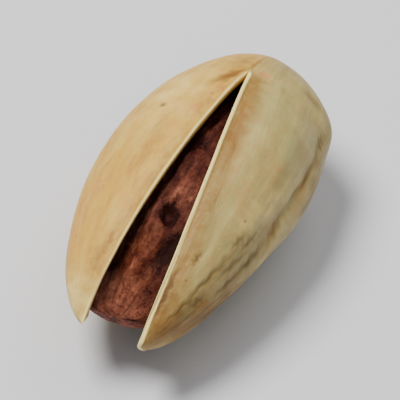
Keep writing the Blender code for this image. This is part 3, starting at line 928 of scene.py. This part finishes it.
def finishShell():
    material, tree, shader = newMaterial("nutshell")
    look = shellFinish
    fibre = attribute(tree, "fibre", "Vector")
    place = millimetreCoordinates(tree)
    right = attribute(tree, "rightness")
    hollow = attribute(tree, "hollow")

    # left valve: cream, with deeper yellow streaks
    broad = streaks(tree, fibre, 1.3, 9.0, 0.42, 0.68, 3.0)
    left = tint(tree, look["cream"], broad, 0.5, look["creamDeep"])
    strawCloud = streaks(tree, fibre, 1.0, 3.4, 0.46, 0.62, 33.0)
    left = tint(tree, left, strawCloud, 0.5, look["straw"])
    tanCloud = streaks(tree, fibre, 0.45, 1.3, 0.48, 0.68, 17.0)
    left = tint(tree, left, tanCloud, 0.42, look["tan"])

    # right valve: greenish grey-beige, paler in clouds
    cloud = mottle(tree, place, 2.2, 0.4, 0.66, 0.8)
    rightTone = tint(tree, look["greyBeige"], cloud, 0.8, look["paleBeige"])
    base = blendColour(tree, right, left, rightTone)

    # soft patches, broken up by a fine mottle
    freckle = mottle(tree, place, 0.55, 0.38, 0.66, 0.6)
    broken = (("green", 0.5, 0.45), ("pale", 0.45, 0.5), ("gold", 0.5, 0.5), ("blush", 0.2, 0.9))
    for tone, least, most in broken:
        share = scaled(tree, freckle, most, least)
        mask = weighted(tree, attribute(tree, tone), share)
        base = tint(tree, base, mask, 0.88, look[tone])
    faint = math2(tree, "MULTIPLY", freckle, 0.14)
    base = blendColour(tree, faint, base, look["blush"])

    # the band beside the rims, golden and partly painted shade
    goldShare = scaled(tree, freckle, 0.25, scaled(tree, right, 0.38, 0.14))
    besideShade = weighted(tree, attribute(tree, "beside"), goldShare)
    base = blendColour(tree, besideShade, base, look["gold"])

    # streaks along the nut, in stains and painted shade, and on the right valve more than elsewhere
    thin = streaks(tree, fibre, 0.26, 3.0, 0.54, 0.7, 11.0)
    wide = streaks(tree, fibre, 0.75, 3.6, 0.42, 0.6, 27.0)
    stainAndShade = attribute(tree, "stainAndShade")
    soakedAndShaded = weighted(tree, stainAndShade, scaled(tree, wide, 0.38, 0.55))
    base = tint(tree, base, soakedAndShaded, 0.92, look["olive"])
    deepest = between(tree, stainAndShade, 1.3, 2.4)  # only the strongest stains go brown
    base = tint(tree, base, deepest, 0.6, look["brown"])
    wideShare = math2(tree, "MULTIPLY", wide, scaled(tree, right, 0.13, 0.05))
    base = blendColour(tree, wideShare, base, look["olive"])
    thinShare = scaled(tree, stainAndShade, 0.3, scaled(tree, right, 0.01, 0.07))
    base = tint(tree, base, thin, thinShare, look["brown"])
    rustAndShade = weighted(tree, attribute(tree, "rustAndShade"), scaled(tree, wide, 0.55, 0.45))
    base = tint(tree, base, rustAndShade, 0.85, look["rustAndShade"])
    # painted shade: olive in the hollows, the deeper marks' grooves and along the closed seam
    hollowShade = weighted(tree, hollow, scaled(tree, right, 0.2, 0.2))
    base = blendColour(tree, hollowShade, base, look["olive"])

    # specks, pinholes and the stem scar
    specks = useGroup(tree, specksGroup, Coordinates=place, Spacing=1.1, Radius=0.13, Share=0.28)
    base = tint(tree, base, specks, 0.55, look["rustAndShade"])
    base = tint(tree, base, attribute(tree, "pin"), 0.9, look["pin"])
    scarMask = attribute(tree, "scar")
    base = tint(tree, base, scarMask, 0.85, look["scar"])
    # painted shade in the scar's pits and dimple
    scarPitShade = weighted(tree, scarMask, hollow)
    base = tint(tree, base, scarPitShade, 0.9, look["brown"])

    # the broken edge, pale with a painted highlight along the rims and painted shade deep in it, and the
    # inside
    lip = attribute(tree, "lip")
    inside = attribute(tree, "inside")
    lipNoise = mottle(tree, place, 0.5, 0.3, 0.8, 0.3)
    lipShare = math2(tree, "ADD", weighted(tree, lipNoise, 0.2), 0.84)
    lipMask = weighted(tree, between(tree, lip, 0.2, 0.5), lipShare)
    base = blendColour(tree, lipMask, base, look["lip"])
    insideStreak = streaks(tree, fibre, 0.8, 5.0, 0.4, 0.7, 41.0)
    insideTone = tint(tree, look["inside"], insideStreak, 0.6, look["insideDark"])
    base = blendColour(tree, inside, base, insideTone)

    # roughness and fine relief
    fine = useGroup(tree, mottleGroup, "Height", Coordinates=place, Size=0.16, Warp=0.2)
    rough = math2(tree, "ADD", weighted(tree, hollow, 0.15), 0.36)
    rough = math2(tree, "ADD", weighted(tree, fine, 0.3), rough)
    fibreHeight = useGroup(tree, streaksGroup, "Height", Coordinates=fibre, Width=0.12, Length=1.8, Seed=51.0)
    fibreShare = scaled(tree, freckle, 0.02, 0.008)
    height = math2(tree, "ADD", math2(tree, "MULTIPLY", fibreHeight, fibreShare), weighted(tree, fine, 0.02))
    height = math2(tree, "SUBTRACT", height, weighted(tree, specks, 0.02))
    height = math2(tree, "SUBTRACT", height, weighted(tree, attribute(tree, "pin"), 0.06))
    finish(tree, shader, base, rough, height)
    shader.inputs["Specular IOR Level"].default_value = 0.3
    shader.inputs["Subsurface Weight"].default_value = 0.08
    shader.inputs["Subsurface Radius"].default_value = (1.0, 0.6, 0.3)
    shader.inputs["Subsurface Scale"].default_value = 0.6 * mm
    return material


# Finish of the kernel

kernelFinish = {
    "base": colour(80, 40, 35),
    "purple": colour(44, 13, 16),
    "orange": colour(92, 42, 18),
    "rose": colour(134, 80, 68),
    "pink": colour(170, 112, 92),
    # near black, for the painted shade in the creases and the darkest patches
    "crease": colour(13, 3, 4),
}


def finishKernel():
    material, tree, shader = newMaterial("seedSkin")
    look = kernelFinish
    fibre = alongFirst(tree)
    place = millimetreCoordinates(tree)
    cloud = mottle(tree, place, 0.9, 0.4, 0.62, 0.9)
    base = tint(tree, look["base"], cloud, 0.5, look["purple"])
    base = tint(tree, base, attribute(tree, "warm"), 0.75, look["orange"])
    crumbs = mottle(tree, place, 0.42, 0.44, 0.6, 1.4)
    base = tint(tree, base, crumbs, 0.55, look["purple"])
    # pale rose: pale patches, and painted highlight and painted light from the pale values
    soft = weighted(tree, attribute(tree, "pale"), scaled(tree, crumbs, -0.5, 1.0))
    base = blendColour(tree, soft, base, look["rose"])
    streak = streaks(tree, fibre, 0.3, 2.2, 0.48, 0.66, 7.0)
    base = tint(tree, base, streak, 0.45, look["purple"])
    fleck = streaks(tree, fibre, 0.34, 0.9, 0.5, 0.74, 19.0)
    fleckShare = math2(tree, "ADD", weighted(tree, attribute(tree, "pale"), 0.45), 0.16)
    base = tint(tree, base, fleck, fleckShare, look["pink"])
    # painted shade: near black in the creases and between the wrinkles
    hollow = attribute(tree, "hollow")
    base = tint(tree, base, hollow, 0.6, look["crease"])
    # painted highlight: pink along the wrinkle ridges
    ridge = weighted(tree, attribute(tree, "ridge"), cloud)
    base = tint(tree, base, ridge, 0.14, look["pink"])
    # dark patches and painted shade from the dark values, purple, then near black
    dark = weighted(tree, attribute(tree, "dark"), math2(tree, "ADD", weighted(tree, crumbs, 0.45), 0.62))
    base = tint(tree, base, dark, 0.85, look["purple"])
    base = tint(tree, base, between(tree, dark, 0.45, 1.2), 0.75, look["crease"])

    fine = useGroup(tree, mottleGroup, "Height", Coordinates=place, Size=0.14, Warp=0.5)
    fibreHeight = useGroup(tree, streaksGroup, "Height", Coordinates=fibre, Width=0.14, Length=1.0, Seed=61.0)
    rough = math2(tree, "ADD", weighted(tree, fine, 0.3), 0.36)
    height = math2(tree, "ADD", weighted(tree, fibreHeight, 0.06), weighted(tree, fine, 0.03))
    finish(tree, shader, base, rough, height)
    shader.inputs["Specular IOR Level"].default_value = 0.05
    return material


print("making the materials")
shell.data.materials.append(finishShell())
kernel.data.materials.append(finishKernel())
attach(shell, "root")
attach(kernel, "root")
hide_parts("shell")
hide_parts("kernel")


# Studio

studio = {
    "azimuth": 28.73,  # the camera stands this far round from -Y towards +X
    "elevation": 49.5,
    "lens": 500.0,
    "sensor": 36.0,
    "fill": 0.74,  # share of the picture that the nut takes
    "floor": colour(214, 220, 246),  # a little blue, so that the warm light leaves it a plain pale grey
    "floorSize": 0.6,
    "world": 0.22,
    "worldTint": (1.0, 0.94, 0.78),
}

# Each light: azimuth and elevation of where it stands, distance, width, power in watts, colour
lights = {
    "key": (-78.0, 70.0, 0.26, 0.12, 1.08, (1.0, 0.92, 0.72)),
    "fill": (60.0, 50.0, 0.3, 0.24, 0.11, (1.0, 0.95, 0.8)),
    "back": (165.0, 55.0, 0.3, 0.2, 0.22, (1.0, 0.95, 0.8)),
}


def outwards(azimuth, elevation):
    # (sin a cos e, -cos a cos e, sin e)
    a, e = math.radians(azimuth), math.radians(elevation)
    return Vector((math.sin(a) * math.cos(e), -math.cos(a) * math.cos(e), math.sin(e)))


def pointAt(thing, target):
    thing.rotation_mode = "QUATERNION"
    thing.rotation_quaternion = (target - thing.location).to_track_quat("-Z", "Y")


def stageFloor():
    size = studio["floorSize"]
    mesh = bpy.data.meshes.new("floor")
    corners = [(-size, -size, 0), (size, -size, 0), (size, size, 0), (-size, size, 0)]
    mesh.from_pydata(corners, [], [(0, 1, 2, 3)])
    floor = newObject("floor", mesh)
    material, _, shader = newMaterial("paleFloor")
    shader.inputs["Base Color"].default_value = studio["floor"]
    shader.inputs["Roughness"].default_value = 0.9
    mesh.materials.append(material)


def hangLights(target):
    for name, (azimuth, elevation, distance, width, power, shade) in lights.items():
        data = bpy.data.lights.new(name, "AREA")
        data.shape = "DISK"
        data.size = width
        data.energy = power
        data.color = shade
        lamp = newObject(name, data)
        lamp.location = target + outwards(azimuth, elevation) * distance
        pointAt(lamp, target)


def setWorld():
    world = bpy.data.worlds.new("studioWorld")
    world.use_nodes = True
    background = world.node_tree.nodes["Background"]
    background.inputs[0].default_value = (*studio["worldTint"], 1.0)
    background.inputs[1].default_value = studio["world"]
    bpy.context.scene.world = world


def placeCamera():
    # looks at the middle of the nut's outline in the picture, from as far as makes it fill its share of it
    back = outwards(studio["azimuth"], studio["elevation"])
    a, e = math.radians(studio["azimuth"]), math.radians(studio["elevation"])
    rightward = Vector((math.cos(a), math.sin(a), 0.0))
    upward = Vector((-math.sin(a) * math.sin(e), math.cos(a) * math.sin(e), math.cos(e)))
    points = shellPoints + placeBy
    middle, spans = Vector((0.0, 0.0, 0.0)), []
    for direction in (rightward, upward, back):
        along = points @ np.array(direction)
        middle = middle + direction * float(along.min() + along.max()) / 2
        spans.append(float(np.ptp(along)))
    widest = max(spans[:2])
    data = bpy.data.cameras.new("camera")
    data.lens = studio["lens"]
    data.sensor_width = studio["sensor"]
    camera = newObject("camera", data)
    camera.location = middle + back * (widest / studio["fill"] * studio["lens"] / studio["sensor"])
    pointAt(camera, middle)
    data.clip_start = 0.01
    data.clip_end = 10.0
    bpy.context.scene.camera = camera
    return middle


print("setting the studio")
stageFloor()
middle = placeCamera()
hangLights(middle)
setWorld()
